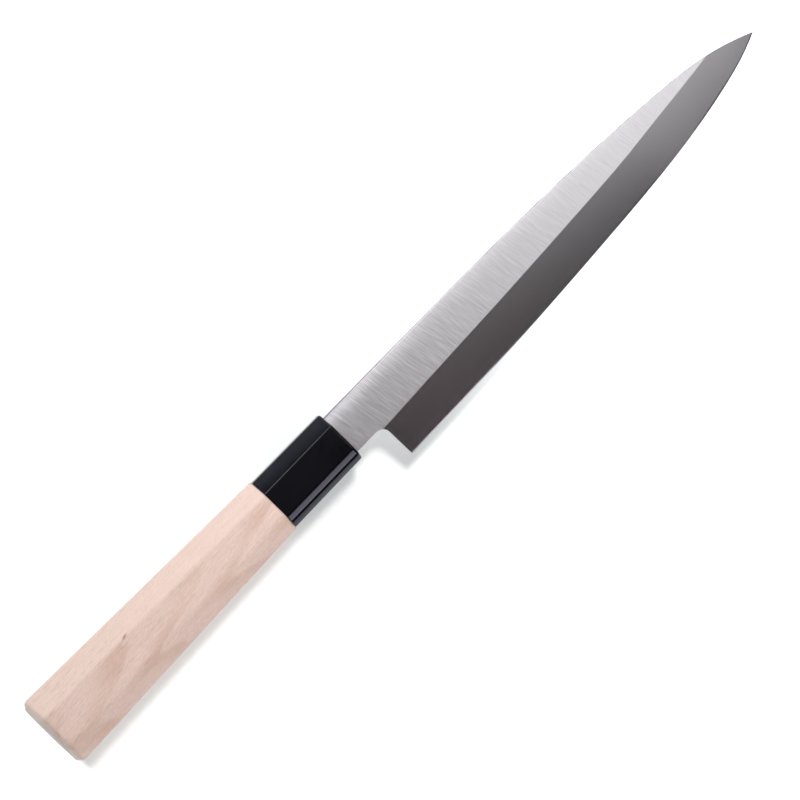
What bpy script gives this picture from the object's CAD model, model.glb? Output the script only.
from math import cos, pi, radians, sin

import bmesh
import bpy
from bpy.props import FloatProperty, FloatVectorProperty, PointerProperty
from bpy.types import Node, NodeSocket, Operator, Panel, PropertyGroup
from mathutils import Matrix, Vector


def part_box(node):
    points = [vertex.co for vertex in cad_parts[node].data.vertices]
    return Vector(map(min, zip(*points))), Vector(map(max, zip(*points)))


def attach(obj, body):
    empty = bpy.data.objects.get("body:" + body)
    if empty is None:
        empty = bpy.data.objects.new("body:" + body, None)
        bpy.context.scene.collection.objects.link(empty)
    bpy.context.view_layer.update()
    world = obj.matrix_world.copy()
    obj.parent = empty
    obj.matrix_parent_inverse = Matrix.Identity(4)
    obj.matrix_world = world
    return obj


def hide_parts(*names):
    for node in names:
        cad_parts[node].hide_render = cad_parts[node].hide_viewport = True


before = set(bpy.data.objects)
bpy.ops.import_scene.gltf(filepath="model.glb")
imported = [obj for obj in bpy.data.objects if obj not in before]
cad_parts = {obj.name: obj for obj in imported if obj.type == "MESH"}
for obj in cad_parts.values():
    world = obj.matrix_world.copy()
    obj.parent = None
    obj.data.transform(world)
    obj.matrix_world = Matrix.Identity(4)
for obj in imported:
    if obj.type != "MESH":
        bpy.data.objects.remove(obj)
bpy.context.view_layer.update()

bl_info = {
    "name": "Yanagiba knife",
    "version": (1, 0, 0),
    "blender": (4, 5, 0),
    "location": "3D View > Sidebar > Knife",
    "description": "A single-bevel slicing knife with an eight-sided wooden handle, on a pale table",
    "category": "Object",
}

MM = 0.001
# Settings of a Map Range node that eases in and out
SMOOTH = {"interpolation_type": "SMOOTHSTEP"}

# The knife's own axis runs along X through the middle of the handle's section
handle_low, handle_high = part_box("handle")
ferrule_low, ferrule_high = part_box("ferrule")
blade_low, blade_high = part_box("blade")
AXIS_Y = (handle_low.y + handle_high.y) / 2
AXIS_Z = (handle_low.z + handle_high.z) / 2
BUTT_X = handle_low.x
JOINT_X = ferrule_low.x
FRONT_X = ferrule_high.x
NECK_HEIGHT = 16.45 * MM
# The right side's flat comes down by this share of the way to the tip
FLAT_FALL = 1.5 / 202
# How strongly the bevel bulges, per metre
BEVEL_ROUNDNESS = 40


def length(name, description, millimetres):
    metres = {"default": millimetres * MM, "min": 0, "unit": "LENGTH", "subtype": "DISTANCE"}
    return FloatProperty(name=name, description=description, **metres)


def colour(name, description, hex_value):
    tone = {"default": linear(hex_value)[:3], "size": 3, "min": 0, "max": 1, "subtype": "COLOR"}
    return FloatVectorProperty(name=name, description=description, **tone)


def linear(hex_value):
    """A linear RGBA colour from an sRGB hex value such as #a1b2c3."""
    channels = [int(hex_value[i:i + 2], 16) / 255 for i in (1, 3, 5)]
    bent = [c / 12.92 if c <= 0.04045 else ((c + 0.055) / 1.055) ** 2.4 for c in channels]
    return (*bent, 1.0)


class HandleSettings(PropertyGroup):
    butt_height: length("Butt height", "Height of the wood at the butt, from edge side to spine side", 28.6)
    butt_thickness: length("Butt thickness", "Thickness of the wood at the butt, from left to right", 22.3)
    butt_side_face: length("Butt side facet", "Width of the flat facet on each side at the butt", 13.5)
    butt_top_face: length("Butt top facet", "Width of the facet in line with the spine at the butt", 6.0)
    joint_height: length("Joint height", "Height of the wood where it meets the ferrule", 22.5)
    joint_thickness: length("Joint thickness", "Thickness of the wood where it meets the ferrule", 17.5)
    joint_side_face: length("Joint side facet", "Width of the side facet where it meets the ferrule", 10.7)
    joint_top_face: length("Joint top facet", "Width of the top facet where it meets the ferrule", 4.8)
    ridge_round: length("Ridge rounding", "Radius of the corners towards the spine", 1.8)
    belly_round: length("Belly rounding", "Radius of the corners towards the edge", 5.0)
    butt_chamfer: length("Butt chamfer", "Width of the chamfer round the butt", 1.8)
    chamfer_soften: length("Chamfer softening", "Radius where the chamfer runs out on the grip", 2.2)
    end_soften: length("End softening", "Radius where the chamfer meets the sawn end", 0.6)
    tenon_inset: length("Tenon inset", "How far the tenon is cut down all round", 2.5)
    tenon_length: length("Tenon length", "How far the tenon goes into the ferrule", 28.5)
    wood_pale: colour("Pale wood", "The lighter tone of the bare magnolia wood", "#eacfc4")
    wood_warm: colour("Warm wood", "The pinker tone of its late growth", "#dcbcae")
    wood_side: colour("Side wood", "Paler tone past the ridge, cut along the rays", "#e3cabf")
    wood_dust: colour("Dusty wood", "The greyer tone of the sawn and sanded end", "#e9e2dd")
    grain_spacing: length("Grain spacing", "Distance between the fine fibres", 0.42)
    ring_spacing: length("Ring spacing", "Distance between growth rings", 3.1)
    pith_depth: length("Pith depth", "How far below the handle's axis the rings have their middle", 12)
    ring_peak: length("Ring peak", "How far towards the spine the rings have their middle", 5.6)
    ring_lean: FloatProperty(name="Ring lean", description="How steeply the rings run out", default=0.112)


class FerruleSettings(PropertyGroup):
    back_height: length("Back height", "Height of the ferrule at the wood", 21.6)
    back_thickness: length("Back thickness", "Thickness of the ferrule at the wood", 16.8)
    front_height: length("Front height", "Height of the ferrule at the blade", 21.1)
    front_thickness: length("Front thickness", "Thickness of the ferrule at the blade", 16.5)
    side_face: length("Side facet", "Width of the flat facet on each side", 13.0)
    side_drop: length("Side facet drop", "How far the side facets sit towards the edge", 0.8)
    top_face: length("Top facet", "Width of the facet in line with the spine", 4.5)
    ridge_round: length("Ridge rounding", "Radius of the corners towards the spine", 0.6)
    belly_round: length("Belly rounding", "Radius of the corners towards the edge", 4.0)
    rim_round: length("Rim rounding", "Radius of the front rim", 0.7)
    wall: length("Wall", "Thickness of the moulded wall", 2.0)
    front_wall: length("Front wall", "Thickness of the wall that the neck passes through", 3.0)
    slot_clearance: length("Slot clearance", "Room round the neck in the front wall", 0.15)
    plastic: colour("Plastic", "Colour of the moulded black plastic", "#0a090f")


class BladeSettings(PropertyGroup):
    steel: colour("Steel", "Colour of the stainless steel", "#c3c0c4")
    line_spacing: length("Brush line spacing", "Distance between the brushed lines across the blade", 0.3)
    line_length: length("Brush line length", "How far the belt drags each line", 7)


class BeddingSettings(PropertyGroup):
    resin: colour("Resin", "Colour of the resin that beds the tang", "#a8875c")


class StageSettings(PropertyGroup):
    floor: colour("Floor", "Colour of the table", "#f3f3f2")
    glow: FloatProperty(name="Floor glow", description="Its own light, seen by the camera", default=0.27)
    distance: length("Camera distance", "From the camera to the knife", 3118)
    frame_width: length("Frame width", "How much of the table the square picture takes in", 277.2)


def add(tree, kind, settings=None, inputs=None):
    """Adds a node with its settings, and fills or links its inputs. A node gives its first output."""
    node = tree.nodes.new(kind)
    for name, value in (settings or {}).items():
        setattr(node, name, value)
    for key, value in (inputs or {}).items():
        socket = node.inputs[key]
        if isinstance(value, Node):
            value = value.outputs[0]
        if isinstance(value, NodeSocket):
            tree.links.new(value, socket)
        else:
            socket.default_value = value
    return node


TAPER_SIZES = ("Height", "Thickness", "Side Face", "Top Face")
SHARED_SIZES = ("Side Drop", "Ridge Round", "Belly Round", "Edge Strip")
ARC_STEPS = 6
CORNER_COLUMNS = ARC_STEPS + 3
MIDDLE_COLUMN = 2 * CORNER_COLUMNS + 1
COLUMNS = 2 * MIDDLE_COLUMN + 1

# Sums of the tree: a name, an operation, and the numbers or the names that it works on
PLACE_SUMS = (
    ("index_inside", "ADD", "index", 0.5),
    ("row_place", "DIVIDE", "index_inside", COLUMNS),
    ("row", "FLOOR", "row_place"),
    ("row_start", "MULTIPLY", "row", COLUMNS),
    ("column", "SUBTRACT", "index", "row_start"),
)
SECTION_SUMS = (
    # Half of each size, and how far the slanted facet leans from the spine's direction
    ("top", "MULTIPLY", "Height", 0.5),
    ("side", "MULTIPLY", "Thickness", 0.5),
    ("crown", "MULTIPLY", "Top Face", 0.5),
    ("half_face", "MULTIPLY", "Side Face", 0.5),
    ("ridge_flat", "SUBTRACT", "half_face", "Side Drop"),
    ("belly_flat", "ADD", "half_face", "Side Drop"),
    ("below", "GREATER_THAN", "column", MIDDLE_COLUMN),
    ("flat", "SWITCH", "below", "ridge_flat", "belly_flat"),
    ("rise", "SUBTRACT", "side", "crown"),
    ("run", "SUBTRACT", "top", "flat"),
    ("slant", "ARCTAN2", "rise", "run"),
    ("upright", "SUBTRACT", pi / 2, "slant"),
    # The corner's rounding, and the corner drawn in by the inset and that rounding
    ("round", "SWITCH", "below", "Ridge Round", "Belly Round"),
    ("depth", "ADD", "inset", "round"),
    ("top_in", "SUBTRACT", "top", "depth"),
    ("side_in", "SUBTRACT", "side", "depth"),
    ("half_slant", "MULTIPLY", "slant", 0.5),
    ("flat_ratio", "TANGENT", "half_slant"),
    ("flat_cut", "MULTIPLY", "depth", "flat_ratio"),
    ("flat_in", "SUBTRACT", "flat", "flat_cut"),
    ("half_upright", "MULTIPLY", "upright", 0.5),
    ("crown_ratio", "TANGENT", "half_upright"),
    ("crown_cut", "MULTIPLY", "depth", "crown_ratio"),
    ("crown_in", "SUBTRACT", "crown", "crown_cut"),
    # Which corner the column is at, the first or the second, and which step of it
    ("from_middle", "SUBTRACT", "column", MIDDLE_COLUMN),
    ("columns_off", "ABSOLUTE", "from_middle"),
    ("folded", "SUBTRACT", MIDDLE_COLUMN, "columns_off"),
    ("past_first", "MAXIMUM", "folded", 1),
    ("before_last", "MINIMUM", "past_first", MIDDLE_COLUMN - 1),
    ("counted", "SUBTRACT", "before_last", 1),
    ("second", "GREATER_THAN", "counted", CORNER_COLUMNS - 0.5),
    ("corner_column", "MODULO", "counted", CORNER_COLUMNS),
    ("step", "SUBTRACT", "corner_column", 1),
    ("step_up", "MAXIMUM", "step", 0),
    ("arc_step", "MINIMUM", "step_up", ARC_STEPS),
    ("turned", "DIVIDE", "arc_step", ARC_STEPS),
    ("to_turn", "SUBTRACT", 1, "turned"),
    # The direction in which the surface faces there
    ("first_turn", "MULTIPLY", "turned", "upright"),
    ("first_angle", "SUBTRACT", pi / 2, "first_turn"),
    ("second_angle", "MULTIPLY", "to_turn", "slant"),
    ("angle", "SWITCH", "second", "first_angle", "second_angle"),
    ("sine", "SINE", "angle"),
    ("cosine", "COSINE", "angle"),
    # The point on the rounding, or on the narrow strip of facet at either side of it
    ("centre_y", "SWITCH", "second", "top_in", "flat_in"),
    ("centre_z", "SWITCH", "second", "crown_in", "side_in"),
    ("arc_y", "MULTIPLY_ADD", "round", "sine", "centre_y"),
    ("arc_z", "MULTIPLY_ADD", "round", "cosine", "centre_z"),
    ("off_arc", "SUBTRACT", "step", "arc_step"),
    ("strip", "MULTIPLY", "off_arc", "Edge Strip"),
    ("strip_y", "MULTIPLY", "strip", "cosine"),
    ("point_y", "SUBTRACT", "arc_y", "strip_y"),
    ("point_z", "MULTIPLY_ADD", "strip", "sine", "arc_z"),
    # The first and last rows close on the axis, and the outer columns lie on the mirror planes
    ("last_row", "SUBTRACT", "rows", 1),
    ("middle_row", "MULTIPLY", "last_row", 0.5),
    ("from_middle_row", "SUBTRACT", "row", "middle_row"),
    ("rows_off", "ABSOLUTE", "from_middle_row"),
    ("end_limit", "SUBTRACT", "middle_row", 0.5),
    ("inner_row", "LESS_THAN", "rows_off", "end_limit"),
    ("before_middle", "LESS_THAN", "folded", MIDDLE_COLUMN - 0.5),
    ("after_top", "GREATER_THAN", "folded", 0.5),
    ("keep_y", "MULTIPLY", "inner_row", "before_middle"),
    ("keep_z", "MULTIPLY", "inner_row", "after_top"),
    ("sign", "SWITCH", "below", 1, -1),
    ("kept_y", "MULTIPLY", "point_y", "keep_y"),
    ("y", "MULTIPLY", "kept_y", "sign"),
    ("z", "MULTIPLY", "point_z", "keep_z"),
)


def taper_interface(tree):
    """The sockets of the tree, and what each is for."""
    tree.interface.new_socket("Solid", in_out="OUTPUT", socket_type="NodeSocketGeometry")
    tree.interface.new_socket("Profile", in_out="INPUT", socket_type="NodeSocketGeometry")
    lengths = [f"{end} {size}" for end in ("Back", "Front") for size in TAPER_SIZES]
    lengths += ["Taper Start", "Taper End", *SHARED_SIZES]
    for name in lengths:
        socket = tree.interface.new_socket(name, in_out="INPUT", socket_type="NodeSocketFloat")
        socket.subtype = "DISTANCE"
    tree.interface.new_socket("Back Middle", in_out="INPUT", socket_type="NodeSocketVector")
    tree.interface.new_socket("Material", in_out="INPUT", socket_type="NodeSocketMaterial")


def add_sums(tree, sums, known):
    """Adds a row of sums, each of which may use the ones before it. They join the known values."""
    for name, operation, *terms in sums:
        values = {place: known.get(term, term) for place, term in enumerate(terms)}
        if operation == "SWITCH":
            known[name] = add(tree, "GeometryNodeSwitch", {"input_type": "FLOAT"}, values)
        else:
            known[name] = add(tree, "ShaderNodeMath", {"operation": operation}, values)


def taper_tree():
    """Turns a profile of places along the axis and insets into an eight-sided solid that tapers.

    The grid's rows are the profile's points. Its columns run from the middle of the top facet, over two
    rounded corners, to the middle of the side facet, and on to the bottom. The other side is its mirror."""
    tree = bpy.data.node_groups.new("Eight-sided taper", "GeometryNodeTree")
    taper_interface(tree)
    given = add(tree, "NodeGroupInput").outputs

    line = add(tree, "GeometryNodeMeshToCurve", {}, {"Mesh": given["Profile"]})
    edge_round = add(tree, "GeometryNodeInputNamedAttribute", {"data_type": "FLOAT"}, {"Name": "edge_round"})
    filleted = {"Curve": line, "Count": 3, "Radius": edge_round, "Limit Radius": True}
    rounded = add(tree, "GeometryNodeFilletCurve", {"mode": "POLY"}, filleted)
    size = add(tree, "GeometryNodeAttributeDomainSize", {"component": "CURVE"}, {"Geometry": rounded})
    rows = size.outputs["Point Count"]
    grid = add(tree, "GeometryNodeMeshGrid", {}, {"Vertices X": rows, "Vertices Y": COLUMNS})

    known = {"rows": rows, "index": add(tree, "GeometryNodeInputIndex")}
    for name in SHARED_SIZES:
        known[name] = given[name]
    add_sums(tree, PLACE_SUMS, known)
    place = add(
        tree,
        "GeometryNodeSampleIndex",
        {"data_type": "FLOAT_VECTOR", "domain": "POINT", "clamp": True},
        {"Geometry": rounded, "Value": add(tree, "GeometryNodeInputPosition"), "Index": known["row"]},
    )
    split = add(tree, "ShaderNodeSeparateXYZ", {}, {0: place}).outputs
    known["inset"] = split[1]
    for name in TAPER_SIZES:
        ends = {3: given[f"Back {name}"], 4: given[f"Front {name}"]}
        reach = {0: split[0], 1: given["Taper Start"], 2: given["Taper End"]}
        known[name] = add(tree, "ShaderNodeMapRange", {"clamp": True}, {**reach, **ends})
    add_sums(tree, SECTION_SUMS, known)
    point = add(tree, "ShaderNodeCombineXYZ", {}, {0: split[0], 1: known["y"], 2: known["z"]})

    half = add(tree, "GeometryNodeSetPosition", {}, {"Geometry": grid, "Position": point})
    mirrored = add(tree, "GeometryNodeTransform", {}, {"Geometry": half, "Scale": (1, 1, -1)})
    flipped = add(tree, "GeometryNodeFlipFaces", {}, {"Mesh": mirrored})
    joined = add(tree, "GeometryNodeJoinGeometry")
    for part in (half, flipped):
        tree.links.new(part.outputs[0], joined.inputs[0])
    closed = add(tree, "GeometryNodeMergeByDistance", {}, {"Geometry": joined, "Distance": 0.002 * MM})
    placed = add(tree, "GeometryNodeTransform", {}, {"Geometry": closed, "Translation": given["Back Middle"]})
    smooth = add(tree, "GeometryNodeSetShadeSmooth", {}, {"Geometry": placed})
    real = add(tree, "GeometryNodeRealizeInstances", {}, {"Geometry": smooth})
    finished = add(tree, "GeometryNodeSetMaterial", {}, {"Geometry": real, "Material": given["Material"]})
    add(tree, "NodeGroupOutput", {}, {"Solid": finished})
    return tree


def link(obj):
    bpy.context.scene.collection.objects.link(obj)
    return obj


def replace_mesh(obj):
    """Puts the mesh that the object's modifiers make in place of its own, and takes them off."""
    graph = bpy.context.evaluated_depsgraph_get()
    made = bpy.data.meshes.new_from_object(obj.evaluated_get(graph), depsgraph=graph)
    obj.modifiers.clear()
    obj.data = made


def eight_sided_piece(name, profile, values):
    """A piece from the eight-sided tree. Each profile point has its place, its inset and its rounding."""
    mesh = bpy.data.meshes.new(name)
    points = [(along, inset, 0) for along, inset, soft in profile]
    mesh.from_pydata(points, [(i, i + 1) for i in range(len(points) - 1)], [])
    softness = mesh.attributes.new("edge_round", "FLOAT", "POINT")
    softness.data.foreach_set("value", [soft for along, inset, soft in profile])
    obj = link(bpy.data.objects.new(name, mesh))
    tree = bpy.data.node_groups.get("Eight-sided taper") or taper_tree()
    modifier = obj.modifiers.new("Eight-sided taper", "NODES")
    modifier.node_group = tree
    for item in tree.interface.items_tree:
        if item.in_out == "INPUT" and item.name in values:
            modifier[item.identifier] = values[item.name]
    replace_mesh(obj)
    shell = bmesh.new()
    shell.from_mesh(obj.data)
    bmesh.ops.dissolve_degenerate(shell, dist=0.001 * MM, edges=shell.edges)
    bmesh.ops.recalc_face_normals(shell, faces=shell.faces)
    shell.to_mesh(obj.data)
    shell.free()
    return obj


def new_material(name):
    material = bpy.data.materials.new(name)
    material.use_nodes = True
    tree = material.node_tree
    tree.nodes.clear()
    shader = add(tree, "ShaderNodeBsdfPrincipled")
    add(tree, "ShaderNodeOutputMaterial", {}, {"Surface": shader})
    return material, tree, shader


def wood_material(settings):
    """Bare magnolia wood, sanded: pale, pinkish and dull, with faint growth rings and fine fibres."""
    material, tree, shader = new_material("Bare magnolia wood")
    here = add(tree, "ShaderNodeTexCoord").outputs["Object"]

    # The rings lie round a pith far below the handle and run out of it, so they peak along one ridge
    pith = (0, AXIS_Y + settings.ring_peak, AXIS_Z - settings.pith_depth)
    from_pith = add(tree, "ShaderNodeMapping", {"vector_type": "TEXTURE"}, {"Vector": here, "Location": pith})
    split = add(tree, "ShaderNodeSeparateXYZ", {}, {0: from_pith}).outputs
    flat = add(tree, "ShaderNodeCombineXYZ", {}, {1: split[1], 2: split[2]})
    radius = add(tree, "ShaderNodeVectorMath", {"operation": "LENGTH"}, {0: flat}).outputs["Value"]
    leant = {0: split[0], 1: settings.ring_lean, 2: radius}
    leaning = add(tree, "ShaderNodeMath", {"operation": "MULTIPLY_ADD"}, leant)
    drift_scale = add(tree, "ShaderNodeMapping", {}, {"Vector": here, "Scale": (14, 60, 60)})
    drift = add(tree, "ShaderNodeTexNoise", {}, {"Vector": drift_scale, "Scale": 1.0, "Detail": 2.0})
    drifted = add(tree, "ShaderNodeMath", {"operation": "MULTIPLY_ADD"}, {0: drift, 1: 3.0 * MM, 2: leaning})
    ring_place = add(tree, "ShaderNodeMath", {"operation": "DIVIDE"}, {0: drifted, 1: settings.ring_spacing})
    ring = add(tree, "ShaderNodeMath", {"operation": "FRACT"}, {0: ring_place})
    darkening = add(tree, "ShaderNodeMapRange", SMOOTH, {0: ring, 1: 0.3, 2: 0.85})
    ending = add(tree, "ShaderNodeMapRange", SMOOTH, {0: ring, 1: 0.88, 2: 1.0, 3: 1.0, 4: 0.0})
    late = add(tree, "ShaderNodeMath", {"operation": "MULTIPLY"}, {0: darkening, 1: ending})
    # Broad patches, in which the rings show more or less
    patch_scale = add(tree, "ShaderNodeMapping", {}, {"Vector": here, "Scale": (30, 110, 110)})
    patches = add(tree, "ShaderNodeTexNoise", {}, {"Vector": patch_scale, "Scale": 1.0, "Detail": 3.0})
    strength = add(tree, "ShaderNodeMapRange", {}, {0: patches, 1: 0.35, 2: 0.65, 3: 0.2, 4: 0.9})
    # Past the ridge the rings are cut across. They show as little more than fibres, and the wood is paler
    split_here = add(tree, "ShaderNodeSeparateXYZ", {}, {0: here}).outputs
    ridge_ends = {3: AXIS_Y + settings.butt_side_face / 2, 4: AXIS_Y + settings.joint_side_face / 2}
    ridge = add(tree, "ShaderNodeMapRange", {}, {0: split_here[0], 1: BUTT_X, 2: JOINT_X, **ridge_ends})
    from_ridge = add(tree, "ShaderNodeMath", {"operation": "SUBTRACT"}, {0: split_here[1], 1: ridge})
    past_ridge = add(tree, "ShaderNodeMapRange", SMOOTH, {0: from_ridge, 1: -1.6 * MM, 2: 1.8 * MM})
    fading = {0: past_ridge, 1: -0.8, 2: 1.0}
    before_ridge = add(tree, "ShaderNodeMath", {"operation": "MULTIPLY_ADD"}, fading)
    shown = add(tree, "ShaderNodeMath", {"operation": "MULTIPLY"}, {0: strength, 1: before_ridge})
    ringed = add(tree, "ShaderNodeMath", {"operation": "MULTIPLY"}, {0: late, 1: shown})
    warmth = add(tree, "ShaderNodeMath", {"operation": "MULTIPLY_ADD"}, {0: patches, 1: 0.6, 2: ringed})
    warm_part = add(tree, "ShaderNodeMath", {"operation": "SUBTRACT"}, {0: warmth, 1: 0.12})
    ringed_tones = {0: warm_part, 6: (*settings.wood_pale, 1), 7: (*settings.wood_warm, 1)}
    ringed_wood = add(tree, "ShaderNodeMix", {"data_type": "RGBA", "clamp_factor": True}, ringed_tones)
    side_tones = {0: past_ridge, 6: ringed_wood.outputs[2], 7: (*settings.wood_side, 1)}
    clean_wood = add(tree, "ShaderNodeMix", {"data_type": "RGBA"}, side_tones)

    # Fibres run along the handle. They are drawn wider than they are, so that they show
    across = 1 / settings.grain_spacing
    drawn_out = (across * 0.04, across, across)
    fibre_scale = add(tree, "ShaderNodeMapping", {}, {"Vector": here, "Scale": drawn_out})
    fibre_noise = {"Vector": fibre_scale, "Scale": 1.0, "Detail": 3.0, "Roughness": 0.6}
    fibres = add(tree, "ShaderNodeTexNoise", {}, fibre_noise)
    streaks = add(tree, "ShaderNodeMapRange", {}, {0: fibres, 1: 0.3, 2: 0.7, 3: 1.03, 4: 0.92})
    # Short pores lie a little steeper than the handle, where the cut runs across the grain
    fleck_scale = add(
        tree,
        "ShaderNodeMapping",
        {"vector_type": "TEXTURE"},
        {"Vector": here, "Rotation": (0, 0, radians(13)), "Scale": (1.7 * MM, 0.3 * MM, 0.3 * MM)},
    )
    flecks = add(tree, "ShaderNodeTexNoise", {}, {"Vector": fleck_scale, "Scale": 1.0, "Detail": 2.0})
    fleck_depth = add(tree, "ShaderNodeMath", {"operation": "MULTIPLY_ADD"}, {0: past_ridge, 1: 0.06, 2: 0.9})
    fleck_tone = add(tree, "ShaderNodeMapRange", {}, {0: flecks, 1: 0.3, 2: 0.7, 3: fleck_depth, 4: 1.06})
    # A few longer, darker lines run the same way, most of them towards the butt
    line_scale = add(
        tree,
        "ShaderNodeMapping",
        {"vector_type": "TEXTURE"},
        {"Vector": here, "Rotation": (0, 0, radians(9)), "Scale": (9 * MM, 0.55 * MM, 0.55 * MM)},
    )
    long_lines = add(tree, "ShaderNodeTexNoise", {}, {"Vector": line_scale, "Scale": 1.0, "Detail": 1.0})
    pores_here = {0: split_here[0], 1: BUTT_X, 2: BUTT_X + 80 * MM, 3: 0.84, 4: 0.95}
    pore_depth = add(tree, "ShaderNodeMapRange", {}, pores_here)
    pores = add(tree, "ShaderNodeMapRange", {}, {0: long_lines, 1: 0.27, 2: 0.42, 3: pore_depth, 4: 1.0})
    # The wood is a shade darker towards the butt, and the cut edge at the ferrule is darker
    handled = add(tree, "ShaderNodeMapRange", {}, {0: split_here[0], 1: BUTT_X, 2: JOINT_X, 3: 0.91, 4: 1.0})
    cut_ends = {0: split_here[0], 1: JOINT_X - 0.6 * MM, 2: JOINT_X, 3: 1.0, 4: 0.6}
    cut_edge = add(tree, "ShaderNodeMapRange", SMOOTH, cut_ends)
    # One pith fleck beside the ridge on the right side
    speck_size = (1.25 * MM, 0.42 * MM, 4 * MM)
    speck_place = (BUTT_X + 41.6 * MM, AXIS_Y + 6.5 * MM, AXIS_Z + 10 * MM)
    in_speck = add(
        tree,
        "ShaderNodeMapping",
        {"vector_type": "TEXTURE"},
        {"Vector": here, "Location": speck_place, "Rotation": (0, 0, radians(16)), "Scale": speck_size},
    )
    speck_far = add(tree, "ShaderNodeVectorMath", {"operation": "LENGTH"}, {0: in_speck}).outputs["Value"]
    speck = add(tree, "ShaderNodeMapRange", SMOOTH, {0: speck_far, 1: 0.5, 2: 1.3, 3: 0.8, 4: 0.0})

    tone = clean_wood.outputs[2]
    darken = {"data_type": "RGBA", "blend_type": "MULTIPLY"}
    for factor in (streaks, fleck_tone, pores, handled, cut_edge):
        multiplied = {0: 1.0, 6: tone, 7: factor}
        tone = add(tree, "ShaderNodeMix", darken, multiplied).outputs[2]
    specked = {0: speck, 6: tone, 7: linear("#a5795f")}
    tone = add(tree, "ShaderNodeMix", {"data_type": "RGBA"}, specked).outputs[2]
    # The sawn end and its sanded edge are dusty and greyer
    at_end = {0: split_here[0], 1: BUTT_X + 0.4 * MM, 2: BUTT_X + 1.8 * MM, 3: 0.7, 4: 0.0}
    dusty = add(tree, "ShaderNodeMapRange", SMOOTH, at_end)
    dusted = {0: dusty, 6: tone, 7: (*settings.wood_dust, 1)}
    tone = add(tree, "ShaderNodeMix", {"data_type": "RGBA"}, dusted).outputs[2]
    tree.links.new(tone, shader.inputs["Base Color"])
    shader.inputs["Roughness"].default_value = 0.6
    shader.inputs["Specular IOR Level"].default_value = 0.2
    relief = add(tree, "ShaderNodeBump", {}, {"Strength": 0.3, "Distance": 0.05 * MM, "Height": fibres})
    tree.links.new(relief.outputs[0], shader.inputs["Normal"])
    return material


def plastic_material(settings):
    """Black phenolic plastic, moulded and polished: nearly a mirror at low angles, deep black face on."""
    material, tree, shader = new_material("Polished black plastic")
    shader.inputs["Base Color"].default_value = (*settings.plastic, 1)
    shader.inputs["IOR"].default_value = 1.5
    shader.inputs["Specular IOR Level"].default_value = 0.2
    here = add(tree, "ShaderNodeTexCoord").outputs["Object"]
    wear = add(tree, "ShaderNodeTexNoise", {}, {"Vector": here, "Scale": 260.0, "Detail": 4.0})
    dull = add(tree, "ShaderNodeMapRange", {}, {0: wear, 1: 0.3, 2: 0.7, 3: 0.1, 4: 0.17})
    tree.links.new(dull.outputs[0], shader.inputs["Roughness"])
    return material


# How the belt leaves the right side: the flat rolls off towards the spine, and the bevel is a little convex
GRINDING_SUMS = (
    ("past", "SUBTRACT", "y", AXIS_Y + 1.0 * MM),
    ("over", "MAXIMUM", "past", 0),
    ("over_squared", "MULTIPLY", "over", "over"),
    ("over_cubed", "MULTIPLY", "over_squared", "over"),
    ("spine_fall", "MULTIPLY", "over_cubed", "roll_off"),
    ("from_front", "SUBTRACT", "x", FRONT_X),
    ("middle", "MULTIPLY_ADD", "from_front", -FLAT_FALL / 2, AXIS_Z + 0.1 * MM),
    ("above", "SUBTRACT", "z", "middle"),
    ("above_squared", "MULTIPLY", "above", "above"),
    ("fall", "MULTIPLY_ADD", "above_squared", BEVEL_ROUNDNESS, "spine_fall"),
    ("height", "MULTIPLY", "fall", -1),
    ("flat_place", "MULTIPLY_ADD", "from_front", -FLAT_FALL, blade_high.z),
    ("from_flat", "SUBTRACT", "z", "flat_place"),
)


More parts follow.
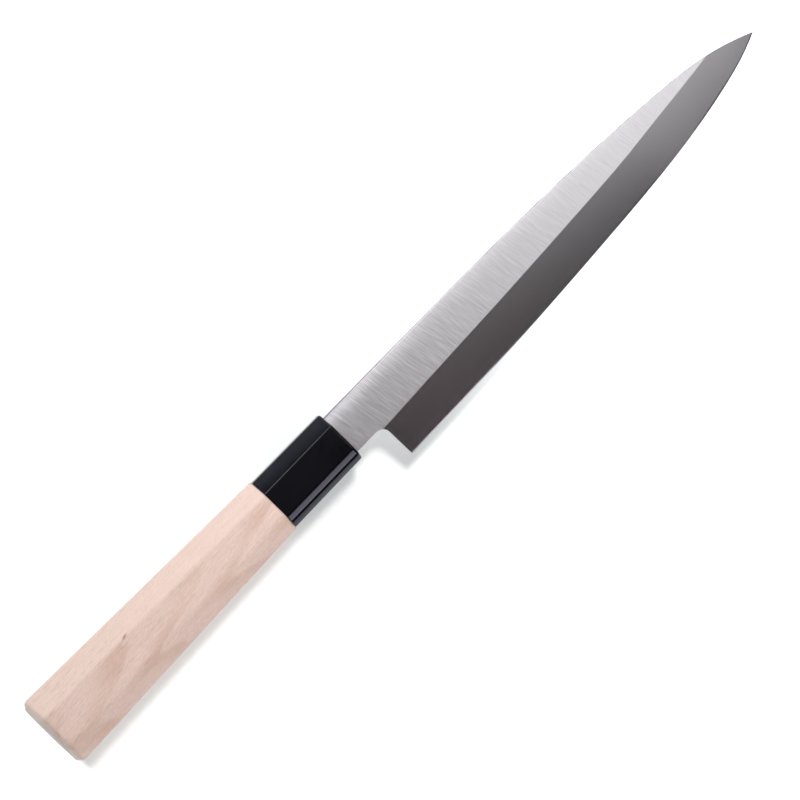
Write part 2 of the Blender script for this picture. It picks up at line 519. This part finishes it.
def steel_material(settings):
    """Stainless steel, brushed across the blade by a belt: fine lines that drag each reflection sideways."""
    material, tree, shader = new_material("Brushed stainless steel")
    shader.inputs["Metallic"].default_value = 1.0
    here = add(tree, "ShaderNodeTexCoord").outputs["Object"]
    split = add(tree, "ShaderNodeSeparateXYZ", {}, {0: here}).outputs
    roll_off = add(
        tree, "ShaderNodeMapRange", {}, {0: split[0], 1: FRONT_X, 2: FRONT_X + 55 * MM, 3: 850, 4: 230}
    )
    known = {"x": split[0], "y": split[1], "z": split[2], "roll_off": roll_off}
    add_sums(tree, GRINDING_SUMS, known)

    # The real lines are finer than a tenth of a millimetre, and are drawn coarser so that they show.
    # They are deepest by the ferrule, and the bevel is ground finer than the flat
    line_size = (settings.line_spacing, settings.line_length, settings.line_length)
    lined = add(
        tree,
        "ShaderNodeMapping",
        {"vector_type": "TEXTURE"},
        {"Vector": here, "Rotation": (0, 0, radians(8)), "Scale": line_size},
    )
    lines = add(tree, "ShaderNodeTexNoise", {}, {"Vector": lined, "Scale": 1.0, "Detail": 1.0})
    depth = add(
        tree, "ShaderNodeMapRange", {}, {0: split[0], 1: FRONT_X, 2: FRONT_X + 120 * MM, 3: 1.0, 4: 0.25}
    )
    coarse = add(
        tree, "ShaderNodeMapRange", {}, {0: known["from_flat"], 1: -0.15 * MM, 2: 0.0, 3: 0.5, 4: 1.0}
    )
    bite = add(tree, "ShaderNodeMath", {"operation": "MULTIPLY"}, {0: depth, 1: coarse})
    shade = add(tree, "ShaderNodeMapRange", {}, {0: lines, 1: 0.3, 2: 0.7, 3: 0.85, 4: 1.13})
    tone = add(
        tree,
        "ShaderNodeMix",
        {"data_type": "RGBA", "blend_type": "MULTIPLY"},
        {0: bite, 6: (*settings.steel, 1), 7: shade},
    )
    tree.links.new(tone.outputs[2], shader.inputs["Base Color"])
    shader.inputs["Roughness"].default_value = 0.25
    ground = add(tree, "ShaderNodeBump", {}, {"Strength": 1.0, "Distance": 1.0, "Height": known["height"]})
    relief_strength = add(tree, "ShaderNodeMath", {"operation": "MULTIPLY"}, {0: bite, 1: 0.05})
    scratched = {"Strength": relief_strength, "Distance": 0.02 * MM, "Height": lines, "Normal": ground}
    relief = add(tree, "ShaderNodeBump", {}, scratched)
    tree.links.new(relief.outputs[0], shader.inputs["Normal"])
    return material


def resin_material(settings):
    """Cast epoxy: amber, glossy where it set against air, and a little cloudy inside."""
    material, tree, shader = new_material("Amber epoxy resin")
    here = add(tree, "ShaderNodeTexCoord").outputs["Object"]
    cloud = add(tree, "ShaderNodeTexNoise", {}, {"Vector": here, "Scale": 220.0, "Detail": 3.0})
    tone = add(tree, "ShaderNodeMapRange", {}, {0: cloud, 1: 0.3, 2: 0.7, 3: 0.85, 4: 1.0})
    mixed = add(
        tree,
        "ShaderNodeMix",
        {"data_type": "RGBA", "blend_type": "MULTIPLY"},
        {0: 1.0, 6: (*settings.resin, 1), 7: tone},
    )
    tree.links.new(mixed.outputs[2], shader.inputs["Base Color"])
    shader.inputs["Roughness"].default_value = 0.3
    return material


class KNIFE_OT_blade(Operator):
    """Finish the blade: the forged and ground steel, smooth but for its ground edges"""

    bl_idname = "knife.blade"
    bl_label = "Blade"

    def execute(self, context):
        settings = context.scene.knife_blade
        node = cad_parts["blade"]
        mesh = node.data.copy()
        mesh.materials.clear()
        obj = link(bpy.data.objects.new("blade_steel", mesh))
        shell = bmesh.new()
        shell.from_mesh(mesh)
        bmesh.ops.remove_doubles(shell, verts=shell.verts, dist=0.001 * MM)
        for face in shell.faces:
            face.smooth = True
        for edge in shell.edges:
            standing = all(abs(face.normal.z) < 0.2 for face in edge.link_faces)
            limit = radians(30 if standing else 3)
            edge.smooth = len(edge.link_faces) == 2 and edge.calc_face_angle(pi) < limit
        shell.to_mesh(mesh)
        shell.free()
        mesh.materials.append(steel_material(settings))
        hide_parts("blade")
        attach(obj, "root")
        return {"FINISHED"}


class KNIFE_OT_handle(Operator):
    """Make the wooden grip: eight-sided, tapering to the ferrule, with a sanded chamfer at the butt"""

    bl_idname = "knife.handle"
    bl_label = "Handle"

    def execute(self, context):
        s = context.scene.knife_handle
        reach = JOINT_X - BUTT_X
        strip = 0.3 * MM
        profile = (
            (0, s.butt_chamfer * 2, 0),
            (0, s.butt_chamfer, s.end_soften),
            (s.butt_chamfer, 0, s.chamfer_soften),
            (s.butt_chamfer * 2, 0, 0),
            (reach - strip * 2, 0, 0),
            (reach, 0, strip / 2),
            (reach, s.tenon_inset, 0),
            (reach + s.tenon_length, s.tenon_inset, strip),
            (reach + s.tenon_length, s.tenon_inset * 2, 0),
        )
        values = {
            "Back Height": s.butt_height,
            "Back Thickness": s.butt_thickness,
            "Back Side Face": s.butt_side_face,
            "Back Top Face": s.butt_top_face,
            "Front Height": s.joint_height,
            "Front Thickness": s.joint_thickness,
            "Front Side Face": s.joint_side_face,
            "Front Top Face": s.joint_top_face,
            "Taper Start": s.butt_chamfer,
            "Taper End": reach,
            "Ridge Round": s.ridge_round,
            "Belly Round": s.belly_round,
            "Edge Strip": strip,
            "Back Middle": (BUTT_X, AXIS_Y, AXIS_Z),
            "Material": wood_material(s),
        }
        obj = eight_sided_piece("handle_wood", profile, values)
        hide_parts("handle")
        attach(obj, "root")
        return {"FINISHED"}


class KNIFE_OT_ferrule(Operator):
    """Make the moulded ferrule: an eight-sided cup with a rounded rim and a slot for the neck"""

    bl_idname = "knife.ferrule"
    bl_label = "Ferrule"

    def execute(self, context):
        s = context.scene.knife_ferrule
        reach = FRONT_X - JOINT_X
        strip = 0.15 * MM
        profile = (
            (reach - s.front_wall, s.wall * 2, 0),
            (reach - s.front_wall, s.wall, strip),
            (0, s.wall, 0),
            (0, 0, strip / 2),
            (strip * 2, 0, 0),
            (reach - s.rim_round * 1.5, 0, 0),
            (reach, 0, s.rim_round),
            (reach, s.wall, 0),
            (reach, s.wall * 2, 0),
        )
        values = {
            "Back Height": s.back_height,
            "Back Thickness": s.back_thickness,
            "Front Height": s.front_height,
            "Front Thickness": s.front_thickness,
            "Back Side Face": s.side_face,
            "Front Side Face": s.side_face,
            "Back Top Face": s.top_face,
            "Front Top Face": s.top_face,
            "Taper Start": 0.0,
            "Taper End": reach,
            "Side Drop": s.side_drop,
            "Ridge Round": s.ridge_round,
            "Belly Round": s.belly_round,
            "Edge Strip": strip,
            "Back Middle": (JOINT_X, AXIS_Y, AXIS_Z),
            "Material": plastic_material(s),
        }
        obj = eight_sided_piece("ferrule_moulding", profile, values)
        self.cut_slot(obj, s.slot_clearance)
        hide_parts("ferrule")
        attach(obj, "root")
        return {"FINISHED"}

    def cut_slot(self, obj, clearance):
        """Cuts the neck's way through the front wall, and marks the ferrule's square edges as sharp."""
        room = Vector((0, clearance, clearance))
        low = Vector((FRONT_X - 4 * MM, blade_high.y - NECK_HEIGHT, blade_low.z)) - room
        high = Vector((FRONT_X + 1 * MM, blade_high.y, blade_high.z)) + room
        shell = bmesh.new()
        bmesh.ops.create_cube(shell, size=1, matrix=Matrix.LocRotScale((low + high) / 2, None, high - low))
        block = bpy.data.meshes.new("neck_block")
        shell.to_mesh(block)
        shell.free()
        cutter = link(bpy.data.objects.new("neck_block", block))
        cut = obj.modifiers.new("Neck slot", "BOOLEAN")
        cut.operation, cut.solver, cut.object = "DIFFERENCE", "EXACT", cutter
        replace_mesh(obj)
        bpy.data.objects.remove(cutter)
        shell = bmesh.new()
        shell.from_mesh(obj.data)
        for edge in shell.edges:
            edge.smooth = len(edge.link_faces) == 2 and edge.calc_face_angle(pi) < radians(35)
        shell.to_mesh(obj.data)
        shell.free()


class KNIFE_OT_bedding(Operator):
    """Finish the resin that beds the tang inside the handle"""

    bl_idname = "knife.bedding"
    bl_label = "Tang bedding"

    def execute(self, context):
        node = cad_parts["tang_bedding"]
        node.data.materials.clear()
        node.data.materials.append(resin_material(context.scene.knife_bedding))
        return {"FINISHED"}


def sheet(name, corners, material):
    """A flat stage piece from its corners."""
    mesh = bpy.data.meshes.new(name)
    mesh.from_pydata(corners, [], [tuple(range(len(corners)))])
    mesh.materials.append(material)
    obj = link(bpy.data.objects.new(name, mesh))
    return obj


def floor_material(settings):
    """White paper, which the camera and reflections see a little brighter than the lamps make it.

    It is brighter still past the butt and along the blade, where the shadow fades out."""
    material, tree, shader = new_material("White paper")
    shader.inputs["Base Color"].default_value = (*settings.floor, 1)
    shader.inputs["Roughness"].default_value = 0.9
    shader.inputs["Specular IOR Level"].default_value = 0.0
    path = add(tree, "ShaderNodeLightPath").outputs
    either = {"operation": "MAXIMUM"}
    shown = add(tree, "ShaderNodeMath", either, {0: path["Is Camera Ray"], 1: path["Is Glossy Ray"]})
    seen = add(tree, "ShaderNodeMath", either, {0: shown, 1: path["Is Transmission Ray"]})
    here = add(tree, "ShaderNodeTexCoord").outputs["Object"]
    x = add(tree, "ShaderNodeSeparateXYZ", {}, {0: here}).outputs[0]
    past_butt = {0: x, 1: BUTT_X + 2.5 * MM, 2: BUTT_X - 0.5 * MM, 3: settings.glow, 4: 1.0}
    along_blade = {0: x, 1: FRONT_X + 15 * MM, 2: FRONT_X + 110 * MM, 3: settings.glow, 4: 1.0}
    ends = [add(tree, "ShaderNodeMapRange", SMOOTH, reach) for reach in (past_butt, along_blade)]
    level = add(tree, "ShaderNodeMath", either, {0: ends[0], 1: ends[1]})
    glow = add(tree, "ShaderNodeMath", {"operation": "MULTIPLY"}, {0: seen, 1: level})
    shader.inputs["Emission Color"].default_value = linear("#f7feff")
    tree.links.new(glow.outputs[0], shader.inputs["Emission Strength"])
    return material


def cloth_material():
    """Cloth overhead, lit from the tip's side and the spine's, and dark past the edge.

    Only the steel and the plastic mirror it."""
    material, tree, shader = new_material("Graded overhead cloth")
    shader.inputs["Base Color"].default_value = (0, 0, 0, 1)
    shader.inputs["Roughness"].default_value = 1.0
    shader.inputs["Specular IOR Level"].default_value = 0.0
    here = add(tree, "ShaderNodeTexCoord").outputs["Object"]
    turned = add(tree, "ShaderNodeMapping", {}, {"Vector": here, "Rotation": (0, 0, radians(18))})
    straight = add(tree, "ShaderNodeSeparateXYZ", {}, {0: here}).outputs
    along = straight[0]
    across = add(tree, "ShaderNodeSeparateXYZ", {}, {0: turned}).outputs[1]
    rising = add(tree, "ShaderNodeMapRange", {}, {0: along, 1: -0.075, 2: 0.165, 3: 0.0, 4: 1.19})
    open_part = add(tree, "ShaderNodeMapRange", SMOOTH, {0: across, 1: -0.15, 2: -0.01})
    far = add(tree, "ShaderNodeMapRange", {}, {0: along, 1: 0.03, 2: 0.2, 3: 0.09, 4: 0.0})
    lit = add(tree, "ShaderNodeMix", {"data_type": "FLOAT"}, {0: open_part, 2: far, 3: rising})
    window_ends = {0: straight[1], 1: -0.045, 2: 0.07, 3: 0.0, 4: 1.15}
    window = add(tree, "ShaderNodeMapRange", SMOOTH, window_ends)
    lit = add(tree, "ShaderNodeMath", {"operation": "ADD"}, {0: lit, 1: window})
    whiter = add(tree, "ShaderNodeMath", {"operation": "MULTIPLY_ADD"}, {0: rising, 1: 0.7, 2: open_part})
    tints = {0: whiter, 6: linear("#ffbcbc"), 7: (1, 1, 1, 1)}
    tint = add(tree, "ShaderNodeMix", {"data_type": "RGBA", "clamp_factor": True}, tints)
    tree.links.new(tint.outputs[2], shader.inputs["Emission Color"])
    tree.links.new(lit.outputs[0], shader.inputs["Emission Strength"])
    return material


def card_material(name, strength, tint="#ffffff"):
    """A card that shines by itself, or black velvet where the strength is nought."""
    material, tree, shader = new_material(name)
    shader.inputs["Base Color"].default_value = linear("#050505")
    shader.inputs["Roughness"].default_value = 1.0
    shader.inputs["Specular IOR Level"].default_value = 0.0
    shader.inputs["Emission Color"].default_value = linear(tint)
    shader.inputs["Emission Strength"].default_value = strength
    return material


def graded_material(name, lit_height, dark_height, tint):
    """A card lit from below, that fades to black between two heights."""
    material = card_material(name, 1.0, tint)
    tree = material.node_tree
    here = add(tree, "ShaderNodeTexCoord").outputs["Object"]
    height = add(tree, "ShaderNodeSeparateXYZ", {}, {0: here}).outputs[2]
    fade = add(tree, "ShaderNodeMapRange", {}, {0: height, 1: lit_height, 2: dark_height, 3: 1.0, 4: 0.0})
    tree.links.new(fade.outputs[0], tree.nodes["Principled BSDF"].inputs["Emission Strength"])
    return material


def upright(name, y, x_ends, z_ends, material):
    """A card that stands along the knife, at y."""
    (left, right), (low, high) = x_ends, z_ends
    return sheet(name, [(left, y, low), (right, y, low), (right, y, high), (left, y, high)], material)


def softbox(name, direction, distance, size, watts, tint="#ffffff"):
    """An area lamp in a direction from the knife, turned towards it."""
    data = bpy.data.lights.new(name, "AREA")
    data.shape = "RECTANGLE"
    data.size, data.size_y = size
    data.energy = watts
    data.color = linear(tint)[:3]
    obj = link(bpy.data.objects.new(name, data))
    way = Vector(direction).normalized()
    obj.location = way * distance
    obj.rotation_euler = way.to_track_quat("Z", "Y").to_euler()
    return obj


class KNIFE_OT_stage(Operator):
    """Set the pale table, the soft lamps and the camera"""

    bl_idname = "knife.stage"
    bl_label = "Stage"

    def execute(self, context):
        s = context.scene.knife_stage
        half = 2.5
        corners = [(-half, -half, 0), (half, -half, 0), (half, half, 0), (-half, half, 0)]
        sheet("table", corners, floor_material(s))
        softbox("key_softbox", (0.45, 0.38, 1.0), 1.2, (0.25, 0.25), 9.6)
        softbox("spine_side_softbox", (0.0, 0.92, 0.38), 1.1, (1.2, 0.5), 6.6)
        edge_side = softbox("edge_side_softbox", (-0.25, -0.84, 0.46), 0.9, (0.25, 0.42), 3.7)
        edge_side.visible_glossy = False
        for card in self.reflected_cards():
            card.visible_camera = card.visible_diffuse = card.visible_shadow = False
            card.active_material.cycles.emission_sampling = "NONE"
        world = bpy.data.worlds.new("Studio air")
        context.scene.world = world
        world.use_nodes = True
        world.node_tree.nodes["Background"].inputs["Color"].default_value = (1, 1, 1, 1)
        world.node_tree.nodes["Background"].inputs["Strength"].default_value = 0.12
        context.scene.view_settings.view_transform = "Standard"
        self.set_camera(context, s)
        return {"FINISHED"}

    def reflected_cards(self):
        """The cards and flags that only the steel and the plastic mirror."""
        black = card_material("Black velvet", 0.0)
        front, back, near = AXIS_Y - 120 * MM, AXIS_Y + 100 * MM, AXIS_Y - 20.5 * MM
        cloth = [(-0.5, -0.5, 0.5), (0.6, -0.5, 0.5), (0.6, 0.08, 0.5), (-0.5, 0.08, 0.5)]
        band, line = (JOINT_X + 2 * MM, FRONT_X + 22 * MM), (FRONT_X + 25 * MM, FRONT_X + 72 * MM)
        beside, spineward = (JOINT_X - 20 * MM, FRONT_X + 10 * MM), (JOINT_X - 10 * MM, FRONT_X + 20 * MM)
        ridge = (JOINT_X + 5 * MM, FRONT_X + 12 * MM)
        foot = (FRONT_X + 24 * MM, front), (FRONT_X + 9.5 * MM, AXIS_Y - 14 * MM)
        divider = [(*foot[0], 0.0005), (*foot[1], 0.0005), (*foot[1], 0.25), (*foot[0], 0.25)]
        under = [AXIS_Y - 6 * MM, AXIS_Y + 13.5 * MM, FRONT_X + 1 * MM, FRONT_X + 205 * MM]
        low, high, left, right = under
        strip = [(left, low, 0.0004), (right, low, 0.0004), (right, high, 0.0004), (left, high, 0.0004)]
        graded = graded_material("Graded flag", 6.5 * MM, 10.5 * MM, "#eef0ff")
        ferrule_light = card_material("Ferrule card", 6.9, "#eae8ff")
        low_light = card_material("Low card", 1.75, "#e2e6ff")
        ridge_light = card_material("Ridge card", 9.0, "#eef2ff")
        return (
            sheet("overhead_cloth", cloth, cloth_material()),
            upright("ferrule_card", front, band, (0.0265, 0.222), ferrule_light),
            upright("edge_card", front, line, (0.065, 0.105), card_material("Edge card", 1.6)),
            upright("edge_side_flag", near, beside, (0.0005, 0.0185), graded),
            upright("spine_low_card", back, spineward, (0.0005, 0.009), low_light),
            upright("spine_side_flag", back, spineward, (0.009, 0.03), black),
            upright("ridge_card", back, ridge, (0.075, 0.195), ridge_light),
            sheet("divider_flag", divider, black),
            sheet("spine_underlay", strip, card_material("Grey underlay", 0.1)),
        )

    def set_camera(self, context, s):
        """A long lens over the knife, leaning a little to the butt and the spine, the blade at 46 degrees."""
        lean_back, lean_spine, turn = radians(4.9), radians(6.4), radians(45.97)
        away = Vector((-sin(lean_back), sin(lean_spine), cos(lean_back) * cos(lean_spine))).normalized()
        along = (Vector((1, 0, 0)) - away * away.x).normalized()
        spineward = away.cross(along)
        right = along * cos(turn) - spineward * sin(turn)
        up = along * sin(turn) + spineward * cos(turn)
        aim = Vector((-5.5, -2.2, 11.15)) * MM
        data = bpy.data.cameras.new("Camera")
        data.sensor_width = 36
        data.lens = data.sensor_width * s.distance / s.frame_width
        data.clip_start, data.clip_end = 0.1, 20
        camera = link(bpy.data.objects.new("Camera", data))
        turned = Matrix((right, up, away)).transposed().to_4x4()
        camera.matrix_world = Matrix.Translation(aim + away * s.distance) @ turned
        context.scene.camera = camera


class KNIFE_PT_panel(Panel):
    """The knife's pieces and the stage, in the order that they are made"""

    bl_label = "Yanagiba knife"
    bl_idname = "KNIFE_PT_panel"
    bl_space_type = "VIEW_3D"
    bl_region_type = "UI"
    bl_category = "Knife"

    def draw(self, context):
        for group, operator in STEPS:
            box = self.layout.box()
            box.operator(operator.bl_idname)
            settings = getattr(context.scene, group)
            for name in settings.bl_rna.properties.keys():
                if name not in ("rna_type", "name"):
                    box.prop(settings, name)


STEPS = (
    ("knife_blade", KNIFE_OT_blade),
    ("knife_handle", KNIFE_OT_handle),
    ("knife_ferrule", KNIFE_OT_ferrule),
    ("knife_bedding", KNIFE_OT_bedding),
    ("knife_stage", KNIFE_OT_stage),
)
GROUPS = {
    "knife_blade": BladeSettings,
    "knife_handle": HandleSettings,
    "knife_ferrule": FerruleSettings,
    "knife_bedding": BeddingSettings,
    "knife_stage": StageSettings,
}


def register():
    for name, group in GROUPS.items():
        bpy.utils.register_class(group)
        setattr(bpy.types.Scene, name, PointerProperty(type=group))
    for group, operator in STEPS:
        bpy.utils.register_class(operator)
    bpy.utils.register_class(KNIFE_PT_panel)


def unregister():
    bpy.utils.unregister_class(KNIFE_PT_panel)
    for group, operator in reversed(STEPS):
        bpy.utils.unregister_class(operator)
    for name, group in reversed(GROUPS.items()):
        delattr(bpy.types.Scene, name)
        bpy.utils.unregister_class(group)


def main():
    register()
    bpy.ops.knife.blade()
    bpy.ops.knife.handle()
    bpy.ops.knife.ferrule()
    bpy.ops.knife.bedding()
    bpy.ops.knife.stage()


if __name__ == "__main__":
    main()
